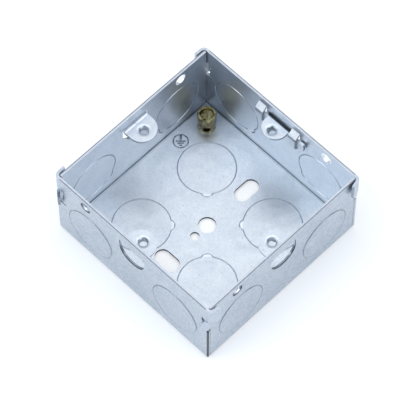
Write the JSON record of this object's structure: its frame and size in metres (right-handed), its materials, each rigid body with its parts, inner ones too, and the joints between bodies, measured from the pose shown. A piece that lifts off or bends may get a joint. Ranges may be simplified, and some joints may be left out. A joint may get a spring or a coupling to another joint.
{
  "type": "flush back box",
  "caption": "Square galvanised steel flush back box for a wiring accessory, with folded lugs, an adjustable lug, ringed knockouts and a brass earth terminal.",
  "frame": {"origin": "middle of the base's underside", "axes": "+Z from the base to the open side; +X to the wall with the adjustable lug; +Y to the back wall"},
  "size_m": [0.0746, 0.0745, 0.035],
  "materials": {
    "galvanised_steel": "hot-dip galvanised, lightly spangled",
    "lug_steel": "galvanised",
    "brass": "turned, dulled",
    "screw_brass": "turned, dulled"
  },
  "bodies": {
    "box": {"back_box": "galvanised_steel", "earth_pillar": "brass"},
    "slider": {"adjustable_lug": "lug_steel"},
    "clamp_screw": {"earth_screw": "screw_brass"}
  },
  "joints": [
    {"name": "lug_slide", "type": "slide", "parent": "box", "child": "slider", "axis": [0, 1, 0], "range_m": [-0.00055, 0.00185]},
    {"name": "clamp_travel", "type": "slide", "parent": "box", "child": "clamp_screw", "axis": [0, 0, -1], "range_m": [-0.0005, 0.0028]}
  ]
}
